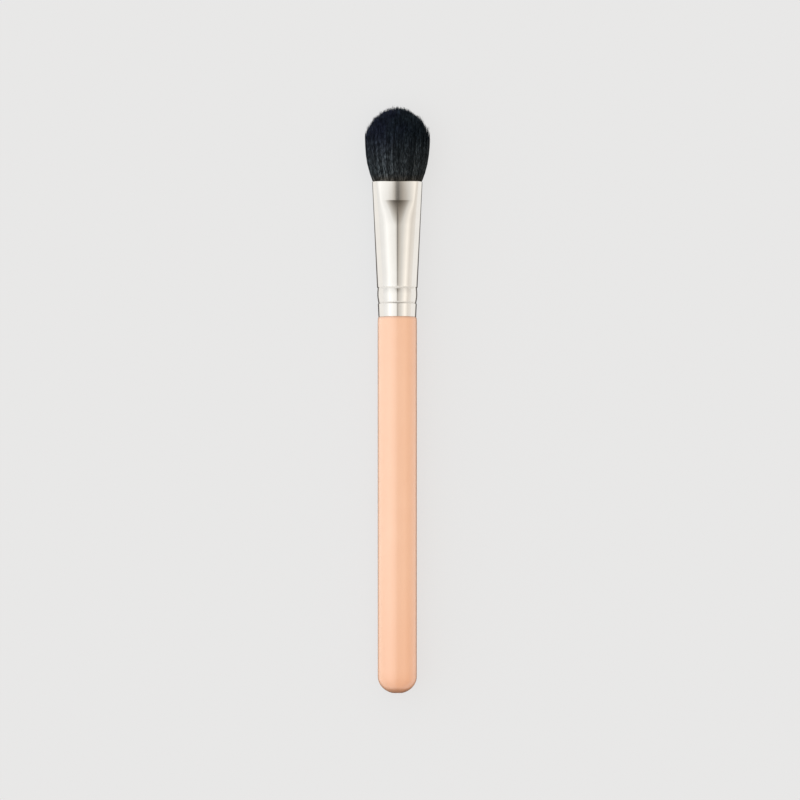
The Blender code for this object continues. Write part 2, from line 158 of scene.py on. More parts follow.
ROOT_TONES = ((0.007, 0.009, 0.010), (0.157, 0.186, 0.205))
FOOT_TONES = ((0.019, 0.018, 0.015), (0.205, 0.197, 0.176))
FOOT_LENGTH = 0.0024  # the hair has the browner tones of its foot up to here from the mouth
NAVY_TONES = ((0.002, 0.003, 0.009), (0.040, 0.049, 0.096))
TEAL_TONES = ((0.001, 0.003, 0.006), (0.066, 0.098, 0.128))
BLUE_SHARES = (0.1, 0.75)  # of the tuft's height, where the hair starts to turn blue and where it is
HUE_REACH = TUFT_WIDTH / 3.0  # from the axis, where the blue is that of its side
SIDE_HUES = (-0.4, 0.9)  # of the left and the right: 0 is navy and 1 is teal
HUE_CLOUDS = (-0.2, 0.7)  # what noise adds to that
HUE_STRETCH = (1.0, 0.6, 1.0)
RESIN_TONES = ((0.46, 0.26, 0.08), (0.33, 0.17, 0.045))
COTTON_TONES = ((0.52, 0.47, 0.38), (0.76, 0.72, 0.63))
ADHESIVE_TONES = ((0.66, 0.58, 0.40), (0.54, 0.47, 0.31))
NOISE_MIDDLE = (0.3, 0.7)  # most of a noise lies between these

# Where the brush lies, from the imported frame

handle_low, handle_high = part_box("handle")
AXIS_HEIGHT = (handle_low.z + handle_high.z) / 2.0
BUTT_PLACE = handle_low.y

# Levels are measured up from the butt, and heights from the ferrule's lower rim

FERRULE_BASE_LEVEL = HANDLE_LENGTH + SHOULDER_GAP
MOUTH_LEVEL = FERRULE_BASE_LEVEL + FERRULE_LENGTH
ROOT_LEVEL = MOUTH_LEVEL - ROOT_DEPTH
TENON_END_LEVEL = handle_high.y - handle_low.y
CREASE_HEIGHT = FERRULE_LENGTH - PRESSED_BAND_HEIGHT

# Facets

HANDLE_STEPS = 192
BUTT_STEPS = 28
BARREL_STEPS = 40
SHOULDER_STEPS = 20
TENON_STEPS = 90
FERRULE_STEPS = 224
CRIMP_RINGS = 96
PLAIN_RINGS = 48
PRESS_RINGS = 138
BORE_SHARE = 3  # one of this many rings is enough in the bore
LIP_STEPS = 10
RIM_STEPS = 3
SHARP_ANGLE = math.radians(35.0)
STRAND_SIDES = 3
ROOT_STEPS = 96

# Camera, from the photograph's perspective

PHOTO_SIDE = 800  # pixels
METRES_PER_PIXEL = 0.00029035  # at the brush's axis
BRUSH_AXIS_PIXEL = 397.3
FRAME_MIDDLE = -0.0001  # the camera looks this far from the brush's middle, towards the butt
LENS_MM = 200.0
SENSOR_MM = 36.0
CAMERA_TILT = math.radians(2.0)  # towards the hair, from straight down

# Stage

PALE = (0.807, 0.807, 0.807)  # of the floor and of what lies beyond it
FLOOR_REACH = 6.0
FLOOR_PLAINNESS = 0.85  # share of the floor's look that takes no shadow
CONTACT_SHADOW = (0.0096, 0.0145)  # from the brush's axis, where gloss sees the floor dark and where plain
CONTACT_TONE = (0.10, 0.085, 0.075)
DEEP_SHADOW = (0.001, 0.0055)  # and from darkest, under the brush, to that tone
DEEP_TONE = (0.035, 0.029, 0.025)
MIRRORED_TONE = (1.08, 1.06, 1.03)  # the plain floor, as gloss sees it

# Soft light for everything that isn't glossy

LEFT_LIGHT = (1.37, 1.49, 1.58)
RIGHT_LIGHT = (0.85, 0.675, 0.50)
BUTT_END_LIGHT = (0.20, 0.09, 0.05)
BUTT_END_EDGES = (-1.05, -0.35)  # in y, the directions from which the light is that and is full

# The reflected tent, by the angle from overhead in degrees, left to right

TENT = (
    (-90.0, (1.04, 1.03, 1.02)),
    (-66.0, (1.12, 1.12, 1.11)),
    (-46.0, (1.415, 1.415, 1.404)),
    (-6.0, (1.121, 1.106, 1.075)),
    (3.0, (1.110, 1.035, 0.945)),
    (22.6, (0.911, 0.885, 0.840)),
    (31.6, (1.086, 1.040, 0.975)),
    (46.0, (1.325, 1.258, 1.168)),
    (64.0, (0.938, 0.879, 0.809)),
    (90.0, (1.02, 0.98, 0.93)),
)
# The dark slit in the tent, over the camera: what it leaves of the light, by the same angle
SLIT = (
    (-6.5, 1.0),
    (-4.0, 0.84),
    (-2.4, 0.72),
    (-1.0, 0.50),
    (0.2, 0.10),
    (1.4, 0.34),
    (4.7, 0.50),
    (8.6, 0.66),
    (23.0, 1.0),
)
SLIT_FADE_EDGES = (-0.086, 0.27)  # towards the butt the slit is weaker
SLIT_FADE = 0.78  # and has only this share of its darkness
DARK_HEAD_LEAN = math.radians(50.4)  # a dark patch of the tent, beyond the hair
DARK_HEAD_ASIDE = math.radians(1.8)  # to the right
DARK_HEAD_EDGES = (math.radians(16.0), math.radians(45.4))  # from its middle, where darkest and where gone
DARK_HEAD_LIGHT = 0.085  # what it leaves of the light there
DARK_HEAD_TINT = (1.10, 1.0, 0.88)
DARK_HEAD_SQUEEZE = 1.5  # the patch is narrower than it is high by this much
HEAD_END_EDGES = (-0.05, 0.4)  # the tent dims towards the hair's end
HEAD_END_LIGHT = 0.79


# Shape helpers


def blend(start, end, share):
    return start + (end - start) * share


def ease(share):
    """0 to 1 with no slope at either end."""
    share = np.clip(share, 0.0, 1.0)
    return share * share * (3.0 - 2.0 * share)


def soft_min(first, second, softness):
    """The smaller of two values, with the corner between them rounded."""
    return (first + second - np.hypot(first - second, softness)) / 2.0


def spaced(start, end, steps):
    """The values that cut start to end into equal steps, without the first."""
    return [blend(start, end, step / steps) for step in range(1, steps + 1)]


def around(steps):
    """Angles that go once round."""
    return np.linspace(0.0, 2.0 * math.pi, steps, endpoint=False)


def in_frame(across, through, level):
    """Brush coordinates, from its axis and its butt, as points of the row's frame."""
    across, through, level = np.broadcast_arrays(across, through, level)
    return np.stack([across, BUTT_PLACE + level, AXIS_HEIGHT + through], axis=-1)


# The ferrule's section. Depths are measured in from its outside.


def blank_half_width(height):
    return blend(FERRULE_BASE_DIAMETER, FERRULE_MOUTH_WIDTH, height / FERRULE_LENGTH) / 2.0


def blank_half_thickness(height):
    """Round at the handle, then drawn flatter towards the mouth."""
    share = (height - FERRULE_ROUND_LENGTH) / (FERRULE_LENGTH - FERRULE_ROUND_LENGTH)
    start = blank_half_width(min(height, FERRULE_ROUND_LENGTH))
    return blend(start, FERRULE_OVAL_THICKNESS / 2.0, ease(share))


def crimp_depth(height):
    """How far the tube is drawn in: a sharp notch at each crimp, and a barrel between the two."""
    if height < LOWER_CRIMP_HEIGHT:
        return LOWER_CRIMP_DEPTH * float(ease(1.0 - (LOWER_CRIMP_HEIGHT - height) / CRIMP_WALL_LENGTH))
    if height > UPPER_CRIMP_HEIGHT:
        return UPPER_CRIMP_DEPTH * float(ease(1.0 - (height - UPPER_CRIMP_HEIGHT) / CRIMP_WALL_LENGTH))
    share = (height - LOWER_CRIMP_HEIGHT) / (UPPER_CRIMP_HEIGHT - LOWER_CRIMP_HEIGHT)
    return blend(LOWER_CRIMP_DEPTH, UPPER_CRIMP_DEPTH, share) - CRIMP_SWELL * math.sin(math.pi * share)


def die_face(across, height):
    """The crowned face of the die that presses the band. It leans in to the mouth, most at the crease."""
    half_crease = CREASE_WIDTH / 2.0
    share = half_crease / blank_half_width(CREASE_HEIGHT)
    edge = blank_half_thickness(CREASE_HEIGHT) * math.sqrt(1.0 - share * share)
    crown = CREASE_THICKNESS / 2.0 - edge
    up_band = np.clip((height - CREASE_HEIGHT) / PRESSED_BAND_HEIGHT, 0.0, 1.0)
    lean = 1.0 - (1.0 - up_band) ** BAND_LEAN_EXPONENT
    middle = blend(CREASE_THICKNESS, MOUTH_THICKNESS, lean) / 2.0
    return middle - crown * np.abs(across / half_crease) ** FACE_CROWN_EXPONENT


def press_share(height):
    """How much of the press has taken: ever steeper to the crease, then full to the mouth."""
    share = (height - CREASE_HEIGHT) / PRESS_RUN_IN + 1.0
    return min(max(share, 0.0), 1.0) ** PRESS_RUN_IN_EXPONENT


def ferrule_section(angles, height, depth=0.0):
    """Across and through coordinates of the ferrule's section, or of one inside it."""
    inset = crimp_depth(height) + depth
    across = (blank_half_width(height) - inset) * np.cos(angles)
    through = (blank_half_thickness(height) - inset) * np.sin(angles)
    pressed = soft_min(np.abs(through), die_face(across, height) - depth, PRESS_EDGE_SOFTNESS)
    size = blend(np.abs(through), pressed, press_share(height))
    return across, np.copysign(size, through)


# Meshes


def add_mesh(name, points, *face_groups):
    """A smooth mesh object from its points and from groups of faces, each group with one count of corners."""
    sizes = np.concatenate([np.full(len(group), group.shape[1]) for group in face_groups])
    corners = np.concatenate([group.ravel() for group in face_groups])
    mesh = bpy.data.meshes.new(name)
    mesh.vertices.add(len(points))
    mesh.vertices.foreach_set("co", points.astype(np.float32).ravel())
    mesh.loops.add(len(corners))
    mesh.loops.foreach_set("vertex_index", corners.astype(np.int32))
    mesh.polygons.add(len(sizes))
    mesh.polygons.foreach_set("loop_start", (np.cumsum(sizes) - sizes).astype(np.int32))
    mesh.update(calc_edges=True)
    mesh.shade_smooth()
    piece = bpy.data.objects.new(name, mesh)
    bpy.context.scene.collection.objects.link(piece)
    return piece


def quads_between(rows, columns, closed=False):
    """Quads that skin rings of points, row by row, with their outside out when the rows run up the brush."""
    row = np.arange(rows if closed else rows - 1)[:, None]
    column = np.arange(columns)[None, :]
    after = (column + 1) % columns
    upper = (row + 1) % rows
    corners = (
        row * columns + column,
        upper * columns + column,
        upper * columns + after,
        row * columns + after,
    )
    return np.stack(np.broadcast_arrays(*corners), axis=-1).reshape(-1, 4)


def add_solid(name, rings):
    """A solid skinned over rings that run up the brush, with flat ends and crisp corners."""
    rows, columns = len(rings), len(rings[0])
    first_end = np.arange(columns)[None, :]
    last_end = first_end[:, ::-1] + (rows - 1) * columns
    piece = add_mesh(name, np.concatenate(rings), quads_between(rows, columns), first_end, last_end)
    piece.data.set_sharp_from_angle(angle=SHARP_ANGLE)
    return piece


def belongs(piece, slot, material, *nodes):
    """Puts a piece on the brush, in the place of the CAD nodes that it is the finer form of."""
    piece.data.materials.append(material)
    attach(piece, "root")
    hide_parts(*nodes)


# Nodes


def add_node(tree, kind, inputs=None, **settings):
    """Adds a node. An input is given as a value, or as the output that feeds it."""
    node = tree.nodes.new(kind)
    for name, value in settings.items():
        setattr(node, name, value)
    for name, value in (inputs or {}).items():
        if isinstance(value, bpy.types.NodeSocket):
            tree.links.new(value, node.inputs[name])
        else:
            node.inputs[name].default_value = value
    return node


def object_place(tree):
    """The place on the object, in metres."""
    return add_node(tree, "ShaderNodeTexCoord").outputs["Object"]


def axes_of(tree, vector):
    """The X, Y and Z of a vector."""
    return add_node(tree, "ShaderNodeSeparateXYZ", {"Vector": vector}).outputs


def noise(tree, scale, detail=2.0, stretch=(1.0, 1.0, 1.0)):
    """Noise over the object, with features of about 1 / scale metres."""
    place = add_node(tree, "ShaderNodeMapping", {"Vector": object_place(tree), "Scale": stretch})
    inputs = {"Vector": place.outputs["Vector"], "Scale": scale, "Detail": detail}
    return add_node(tree, "ShaderNodeTexNoise", inputs).outputs["Fac"]


def calculated(tree, operation, *values):
    return add_node(tree, "ShaderNodeMath", dict(enumerate(values)), operation=operation).outputs["Value"]


def vector_math(tree, operation, *values):
    return add_node(tree, "ShaderNodeVectorMath", dict(enumerate(values)), operation=operation).outputs


def stepped(tree, value, edges, levels=(0.0, 1.0), kind="SMOOTHSTEP"):
    """Goes from one level to the other between two edges."""
    (low_edge, high_edge), (low, high) = edges, levels
    inputs = {"Value": value, "From Min": low_edge, "From Max": high_edge, "To Min": low, "To Max": high}
    return add_node(tree, "ShaderNodeMapRange", inputs, interpolation_type=kind).outputs["Result"]


def ranged(tree, value, low=0.0, high=1.0):
    """Spreads the middle of a noise over a range."""
    return stepped(tree, value, NOISE_MIDDLE, (low, high), "LINEAR")


def between(tree, share, first, second):
    """A value between two, by a share from a node."""
    return stepped(tree, share, (0.0, 1.0), (first, second), "LINEAR")


def mixed(tree, share, first, second):
    """A colour between two, by a share from a node."""
    node = add_node(tree, "ShaderNodeMix", {"Factor": share}, data_type="RGBA")
    for socket, value in (("A_Color", first), ("B_Color", second)):
        target = next(found for found in node.inputs if found.identifier == socket)
        if isinstance(value, bpy.types.NodeSocket):
            tree.links.new(value, target)
        else:
            target.default_value = (*value, 1.0)
    return next(found for found in node.outputs if found.identifier == "Result_Color")


def by_angle(tree, share, stops):
    """A colour or a grey for each angle from -90 to 90 degrees, where share goes from 0 to 1."""
    ramp = add_node(tree, "ShaderNodeValToRGB", {"Fac": share})
    while len(ramp.color_ramp.elements) < len(stops):
        ramp.color_ramp.elements.new(1.0)
    for element, (angle, tone) in zip(ramp.color_ramp.elements, stops):
        element.position = (angle + 90.0) / 180.0
        element.color = (*tone, 1.0) if isinstance(tone, tuple) else (tone, tone, tone, 1.0)
    return ramp.outputs["Color"]


def glow(tree, kind, color, strength=1.0):
    """Light of a colour, from a surface or from the world."""
    return add_node(tree, kind, {"Color": color, "Strength": strength}).outputs[0]


def either(tree, share, first, second):
    """The first shader where share is 0, the second where it is 1."""
    return add_node(tree, "ShaderNodeMixShader", {"Fac": share, 1: first, 2: second}).outputs[0]


# Materials


def start_material(name, **shine):
    """A Principled material, with its plain values set on the shader's own sockets."""
    material = bpy.data.materials.new(name)
    material.use_nodes = True
    shader = material.node_tree.nodes["Principled BSDF"]
    for socket, value in shine.items():
        shader.inputs[socket.replace("_", " ")].default_value = value
    return material, material.node_tree, shader


def bumped(tree, shader, height, distance, strength):
    inputs = {"Height": height, "Distance": distance, "Strength": strength}
    bump = add_node(tree, "ShaderNodeBump", inputs)
    tree.links.new(bump.outputs["Normal"], shader.inputs["Normal"])


def lacquer_material():
    """Satin peach lacquer with faint clouds and slight orange peel, deeper where it has run and pooled, with
    painted shade on the butt's end and along the joint with the ferrule.
    """
    material, tree, shader = start_material(
        "peach_lacquer_look", Coat_Weight=1.0, Coat_Roughness=0.26, Coat_IOR=1.8
    )
    color = mixed(tree, ranged(tree, noise(tree, scale=140.0, detail=3.0)), *LACQUER_TONES)
    level = axes_of(tree, object_place(tree))["Y"]
    # towards the butt the lacquer is deeper, and its last few millimetres carry painted shade
    for reach, deeper in ((SAG_LENGTH, SAG_TONE), (POOLED_AND_SHADE_LENGTH, POOLED_AND_SHADE_TONE), (BUTT_RIM_SHADE_LENGTH, BUTT_RIM_SHADE_TONE)):
        share = stepped(tree, level, (BUTT_PLACE, BUTT_PLACE + reach), (1.0, 0.0))
        color = mixed(tree, share, color, deeper)
    shoulder = BUTT_PLACE + FERRULE_BASE_LEVEL
    # painted shade along the handle's joint with the ferrule
    color = mixed(tree, stepped(tree, level, (shoulder - JOINT_SHADE_LENGTH, shoulder)), color, JOINT_SHADE_TONE)
    tree.links.new(color, shader.inputs["Base Color"])
    peel = noise(tree, scale=1900.0)
    tree.links.new(ranged(tree, peel, low=0.36, high=0.44), shader.inputs["Roughness"])
    bumped(tree, shader, peel, distance=0.000004, strength=0.3)
    return material


def ferrule_material():
    """Polished warm silver, with fine rings from turning on a mop. The crimps stay rougher and duller."""
    material, tree, shader = start_material("nickel_look", Metallic=1.0)
    color = mixed(tree, ranged(tree, noise(tree, scale=260.0, detail=3.0)), *NICKEL_TONES)
    rings = noise(tree, scale=500.0, detail=3.0, stretch=TURNING_STRETCH)
    roughness = ranged(tree, rings, low=0.04, high=0.08)
    axes = axes_of(tree, object_place(tree))
    face = stepped(tree, calculated(tree, "ABSOLUTE", axes["X"]), NOTCH_SIDES, (1.0, 0.0))
    for height in (LOWER_CRIMP_HEIGHT, UPPER_CRIMP_HEIGHT):
        away = calculated(tree, "SUBTRACT", axes["Y"], BUTT_PLACE + FERRULE_BASE_LEVEL + height)
        near = stepped(tree, calculated(tree, "ABSOLUTE", away), (0.0, NOTCH_REACH), (1.0, 0.0))
        near = calculated(tree, "MULTIPLY", near, face)
        roughness = calculated(tree, "MULTIPLY_ADD", near, NOTCH_ROUGHNESS, roughness)
        color = mixed(tree, near, color, NOTCH_TONE)
    tree.links.new(roughness, shader.inputs["Roughness"])
    tree.links.new(color, shader.inputs["Base Color"])
    bumped(tree, shader, rings, distance=0.0000006, strength=0.35)
    return material


def hair_material():
    """Black hair: a tone for each strand, lighter on the tuft's left as painted light, painted sheen as light
    flecks, browner at the mouth and bluer at the tips.
    """
    material, tree, shader = start_material(
        "black_hair_look", Roughness=0.42, Specular_IOR_Level=0.12, Specular_Tint=(0.72, 0.88, 1.0, 1.0)
    )
    tone = add_node(tree, "ShaderNodeAttribute", attribute_name="tone").outputs["Fac"]
    # painted sheen: light flecks along the strands stand in for their highlights
    flecks = ranged(tree, noise(tree, scale=2700.0, detail=3.0, stretch=SHEEN_FLECK_STRETCH))
    flecks = calculated(tree, "POWER", flecks, SHEEN_FLECK_EXPONENT)
    flecks = calculated(tree, "MULTIPLY_ADD", flecks, SHEEN_FLECK_GAIN, SHEEN_FLECK_LEAST)
    lightness = calculated(tree, "MULTIPLY", tone, flecks)
    axes = axes_of(tree, object_place(tree))
    mouth = BUTT_PLACE + MOUTH_LEVEL
    rising = stepped(tree, axes["Y"], (mouth, mouth + FOOT_LENGTH))
    foot, root = mixed(tree, lightness, *FOOT_TONES), mixed(tree, lightness, *ROOT_TONES)
    clouds = ranged(tree, noise(tree, scale=300.0, detail=1.0, stretch=HUE_STRETCH), *HUE_CLOUDS)
    side = stepped(tree, axes["X"], (-HUE_REACH, HUE_REACH), SIDE_HUES)
    hue = calculated(tree, "ADD", side, clouds)
    navy, teal = mixed(tree, lightness, *NAVY_TONES), mixed(tree, lightness, *TEAL_TONES)
    tipward = stepped(tree, axes["Y"], [mouth + share * TUFT_HEIGHT for share in BLUE_SHARES])
    color = mixed(tree, tipward, mixed(tree, rising, foot, root), mixed(tree, hue, navy, teal))
    tree.links.new(color, shader.inputs["Base Color"])
    return material


def resin_material():
    """Set amber resin, unevenly deep in colour and slightly rippled."""
    material, tree, shader = start_material("amber_resin_look", Roughness=0.3)
    color = mixed(tree, ranged(tree, noise(tree, scale=900.0, detail=4.0)), *RESIN_TONES)
    tree.links.new(color, shader.inputs["Base Color"])
    bumped(tree, shader, noise(tree, scale=2500.0), distance=0.00002, strength=0.4)
    return material


def cotton_material():
    """Undyed thread, its plies drawn as slanting waves."""
    material, tree, shader = start_material("cotton_thread_look", Roughness=0.85)
    inputs = {"Vector": object_place(tree), "Scale": 900.0, "Distortion": 1.5, "Detail": 2.0}
    plies = add_node(tree, "ShaderNodeTexWave", inputs, bands_direction="DIAGONAL").outputs["Fac"]
    tree.links.new(mixed(tree, plies, *COTTON_TONES), shader.inputs["Base Color"])
    bumped(tree, shader, plies, distance=0.00004, strength=0.6)
    return material


def glue_material():
    """Set clear adhesive, clouded by its bubbles."""
    material, tree, shader = start_material("clear_adhesive_look", Roughness=0.25)
    color = mixed(tree, ranged(tree, noise(tree, scale=1600.0, detail=3.0)), *ADHESIVE_TONES)
    tree.links.new(color, shader.inputs["Base Color"])
    return material


# Handle


def tenon_radius(height):
    """The room that the ferrule's bore leaves the tenon, with its grooves at the crimps."""
    half_width = blank_half_width(height) - crimp_depth(height)
    half_thickness = float(blank_half_thickness(height)) - crimp_depth(height)
    return min(half_width, half_thickness) - FERRULE_WALL - SEAT_GAP


def handle_outline():
    """The handle's outline as radius and level, from the butt up to the tenon's end."""
    butt, top = HANDLE_BUTT_DIAMETER / 2.0, HANDLE_TOP_DIAMETER / 2.0
    flat, ferrule = BUTT_FLAT_DIAMETER / 2.0, FERRULE_BASE_DIAMETER / 2.0
    first = math.asin(flat / butt)
    outline = [(flat, 0.0)]
    for angle in spaced(first, math.pi / 2.0, BUTT_STEPS):
        rise = 1.0 - math.cos(angle) / math.cos(first)
        outline.append((butt * math.sin(angle), BUTT_ROUNDING_LENGTH * rise))
    shoulder = FERRULE_BASE_LEVEL - RIM_GAP
    barrel_top = shoulder - SHOULDER_ROUNDING_LENGTH
    for share in spaced(0.0, 1.0, BARREL_STEPS):
        outline.append((blend(butt, top, share), blend(BUTT_ROUNDING_LENGTH, barrel_top, share)))
    for angle in spaced(math.pi / 2.0, 0.0, SHOULDER_STEPS):
        fall = SHOULDER_ROUNDING_LENGTH * (1.0 - math.cos(angle))
        outline.append((blend(ferrule, top, math.sin(angle)), shoulder - fall))
    for height in np.linspace(0.0, TENON_END_LEVEL - FERRULE_BASE_LEVEL - TENON_CHAMFER, TENON_STEPS):
        outline.append((tenon_radius(height), FERRULE_BASE_LEVEL + height))
    return outline + [(outline[-1][0] - TENON_CHAMFER, TENON_END_LEVEL)]


def make_handle():
    angles = around(HANDLE_STEPS)
    rings = [in_frame(r * np.cos(angles), r * np.sin(angles), level) for r, level in handle_outline()]
    belongs(add_solid("turned_handle", rings), "peach_lacquer", lacquer_material(), "handle")


# Ferrule


def ferrule_path():
    """Height and depth round the tube's wall: up its outside, over the mouth, and down its inside."""
    lip = FERRULE_WALL / 2.0
    plain_start = UPPER_CRIMP_HEIGHT + 2.0 * CRIMP_WALL_LENGTH
    plain_end = CREASE_HEIGHT - PRESS_RUN_IN
    outside = [
        RIM_ROUNDING,
        *spaced(RIM_ROUNDING, plain_start, CRIMP_RINGS),
        *spaced(plain_start, plain_end, PLAIN_RINGS),
        *spaced(plain_end, FERRULE_LENGTH - lip, PRESS_RINGS),
    ]
    path = [(height, 0.0) for height in outside]
    for angle in spaced(0.0, math.pi, LIP_STEPS)[:-1]:
        path.append((FERRULE_LENGTH - lip + lip * math.sin(angle), lip - lip * math.cos(angle)))
    path += [(height, FERRULE_WALL) for height in reversed(outside[::BORE_SHARE])]
    for side, middle in ((1.0, FERRULE_WALL - RIM_ROUNDING), (-1.0, RIM_ROUNDING)):
        for angle in spaced(0.0, math.pi / 2.0, RIM_STEPS):
            turned = angle if side > 0.0 else math.pi / 2.0 - angle
            sunk = RIM_ROUNDING * (1.0 - math.sin(turned))
            path.append((sunk, middle + side * RIM_ROUNDING * math.cos(turned)))
    return path[:-1]


def make_ferrule():
    angles = around(FERRULE_STEPS)
    rings = []
    for height, depth in ferrule_path():
        across, through = ferrule_section(angles, height, depth)
        rings.append(in_frame(across, through, FERRULE_BASE_LEVEL + height))
    quads = quads_between(len(rings), FERRULE_STEPS, closed=True)
    piece = add_mesh("drawn_ferrule", np.concatenate(rings), quads)
    belongs(piece, "nickel", ferrule_material(), "ferrule")


# Hair. Its strands are placed on a disc of radius 1, which the tuft's outline stretches at each level.


def tuft_section(angles, level):
    """The hair's outline at a level: the ferrule's bore at its mouth, easing to the belly's oval."""
    height = np.clip(level, ROOT_LEVEL, MOUTH_LEVEL) - FERRULE_BASE_LEVEL
    mouth_across, mouth_through = ferrule_section(angles, FERRULE_LENGTH, FERRULE_WALL + HAIR_GAP)
    share = np.clip((level - MOUTH_LEVEL) / TUFT_BELLY_HEIGHT, 0.0, 1.0)
    flare = 1.0 - (1.0 - share) ** TUFT_FLARE_EXPONENT
    narrowing = blank_half_width(height) / blank_half_width(FERRULE_LENGTH)
    spill = HAIR_SPILL * (share > 0.0)
    root_across = mouth_across * narrowing + spill * np.cos(angles)
    across = blend(root_across, (TUFT_WIDTH / 2.0 - WAVE_ROOM) * np.cos(angles), flare)
    root_through = mouth_through + spill * np.sin(angles)
    through = blend(root_through, (TUFT_THICKNESS / 2.0 - WAVE_ROOM) * np.sin(angles), flare)
    return across, through


def scattered_feet(chance):
    """Where the strands stand: evenly over the disc, each slightly shaken."""
    index = np.arange(STRANDS)
    radius = np.sqrt((index + 0.5) / STRANDS)
    feet = radius[:, None] * np.stack([np.cos(index * GOLDEN_ANGLE), np.sin(index * GOLDEN_ANGLE)], axis=1)
    feet += chance.normal(0.0, FOOT_SHAKE, feet.shape)
    feet /= np.maximum(np.hypot(*feet.T), 1.0)[:, None]
    return feet


def gathered(chance, feet):
    """The clump of each strand, and its drift at the tip: to the clump's middle, and aside."""
    centres = feet[chance.choice(STRANDS, CLUMPS, replace=False)]
    clump = np.argmin(((feet[:, None, :] - centres[None]) ** 2).sum(axis=2), axis=1)
    pull = CLUMP_PULL * blend(LEAST_PULL, 1.0, chance.random(STRANDS))
    stray = chance.random(STRANDS) < STRAY_SHARE
    lean = chance.normal(0.0, 1.0, feet.shape) * np.where(stray, STRAY_LEAN, STRAND_LEAN)[:, None]
    relief = centres * (CLUMP_RELIEF * chance.normal(0.0, 1.0, CLUMPS))[:, None]
    return clump, (centres[clump] - feet) * pull[:, None] + lean + relief[clump]


def few_long(chance, count):
    """Random lengths of which most are small and a few are large."""
    return np.minimum(chance.exponential(1.0, count), LONGEST_SPREAD) ** SPREAD_EXPONENT


def tip_levels(chance, radius, clump):
    """Where the strands end: under the dome, and then up by each clump's rise and each strand's own."""
    rise = np.maximum(1.0 - radius ** TUFT_DOME_EXPONENT, 0.0) ** (1.0 / TUFT_DOME_EXPONENT)
    dome = MOUTH_LEVEL + blend(TUFT_BELLY_HEIGHT, TUFT_HEIGHT, rise)
    clump_rise = CLUMP_SPREAD * few_long(chance, CLUMPS)[clump]
    strand_rise = STRAND_SPREAD * few_long(chance, STRANDS)
    return dome - blend(*TIP_DROPS, radius) + clump_rise + strand_rise


def centre_lines(chance, feet, drift, tips):
    """The strands' centre lines, wavy within the tuft's outline and clear of the table."""
    grown = np.maximum(STRAND_POINTS, 0.0)
    level = MOUTH_LEVEL + grown[None, :] * (tips - MOUTH_LEVEL)[:, None]
    level[:, 0] = ROOT_LEVEL
    grown = grown[None, :, None]
    phase = chance.random((STRANDS, 1, 2)) * 2.0 * math.pi
    wave = WAVE_SHARE * np.sin(phase + grown * WAVE_TURN) * grown
    unit = feet[:, None, :] + drift[:, None, :] * grown ** LEAN_EXPONENT + wave
    across, through = tuft_section(np.arctan2(unit[..., 1], unit[..., 0]), level)
    size = np.hypot(unit[..., 0], unit[..., 1])
    size = np.minimum(size, blend(1.0, size, SPRUNG_SHARE))
    across, through = across * size, through * size
    through = np.maximum(through, TABLE_GAP + STRAND_RADIUS - AXIS_HEIGHT)
    return in_frame(across, through, level)


def make_strands():
    """Each strand's centre line, thickness at each of its points, tone with painted side light, turn and
    place from the middle.
    """
    chance = np.random.default_rng(STRAND_SEED)
    feet = scattered_feet(chance)
    radius = np.hypot(*feet.T)
    clump, drift = gathered(chance, feet)
    tips = tip_levels(chance, radius, clump)
    lines = centre_lines(chance, feet, drift, tips)

    taper = np.clip((1.0 - STRAND_POINTS) / (1.0 - STRAND_TAPER_START), STRAND_TIP_SHARE, 1.0)
    thick = STRAND_RADIUS * blend(*STRAND_THICKNESSES, chance.random(STRANDS))[:, None] * taper[None, :]
    clump_tone = chance.random(CLUMPS)[clump]
    own_tone = chance.random(STRANDS)
    # painted light and shade: the strands on the tuft's left are lighter and those on its right darker
    leftness = np.clip(0.5 - 0.5 * feet[:, 0], 0.0, 1.0)
    tone = blend(clump_tone, own_tone, OWN_TONE_SHARE) * blend(*PAINTED_SIDE_LIGHT, leftness)
    turn = chance.random(STRANDS) * 2.0 * math.pi
    return lines, thick, tone ** 2, turn, radius


def add_strands(name, lines, thick, tone, turn):
    """Closed three-sided strands round centre lines, each with its tone."""
    count, rings, _ = lines.shape
    angles = turn[:, None] + around(STRAND_SIDES)[None, :]
    side = np.stack([np.cos(angles), np.zeros_like(angles), np.sin(angles)], axis=-1)
    points = lines[:, :, None, :] + thick[:, :, None, None] * side[:, None, :, :]
    first_corner = np.arange(count)[:, None, None] * rings * STRAND_SIDES
    quads = first_corner + quads_between(rings, STRAND_SIDES)[None]
    ends = np.array([[0, 1, 2], [2, 1, 0]]) + np.array([[0], [(rings - 1) * STRAND_SIDES]])
    ends = first_corner + ends[None]
    piece = add_mesh(name, points.reshape(-1, 3), quads.reshape(-1, 4), ends.reshape(-1, 3))
    tones = np.repeat(tone, rings * STRAND_SIDES).astype(np.float32)
    piece.data.attributes.new("tone", "FLOAT", "POINT").data.foreach_set("value", tones)
    map_strands(piece, count, rings)
    return piece


